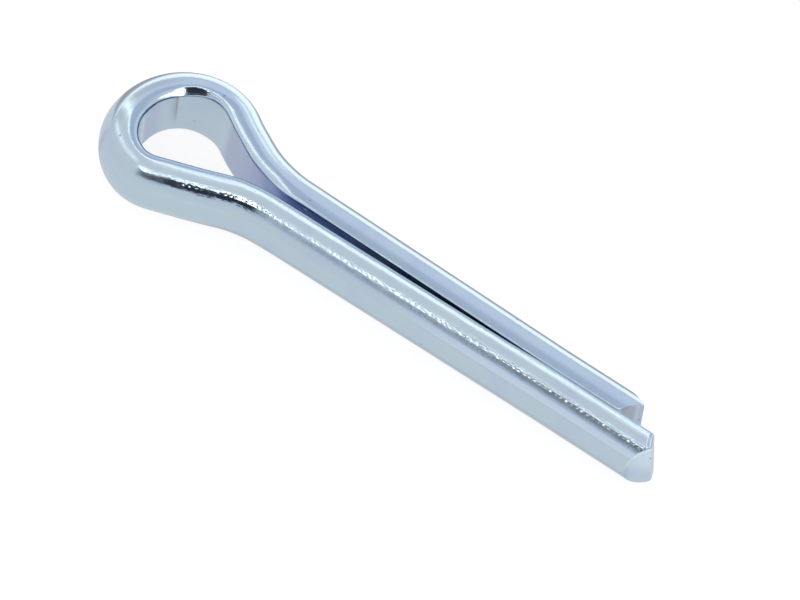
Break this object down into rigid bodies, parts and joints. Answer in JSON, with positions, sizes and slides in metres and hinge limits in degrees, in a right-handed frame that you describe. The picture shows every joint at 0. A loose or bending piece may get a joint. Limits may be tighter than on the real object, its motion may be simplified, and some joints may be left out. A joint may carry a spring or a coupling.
{
  "type": "cotter pin",
  "caption": "Split cotter pin of half-round steel wire with a rounded eye and one leg longer than the other.",
  "frame": {"origin": "on the shank's axis at the throat, where the eye stops the pin in its hole", "axes": "+X along the shank towards the leg ends, +Y towards the short leg, +Z along the eye's opening and up as the pin lies"},
  "size_m": [0.0623, 0.0148, 0.0074],
  "materials": {
    "zinc_steel": "bright zinc plate with a faint blue cast"
  },
  "bodies": {
    "root": {"cotter_pin": "zinc_steel"}
  },
  "joints": []
}
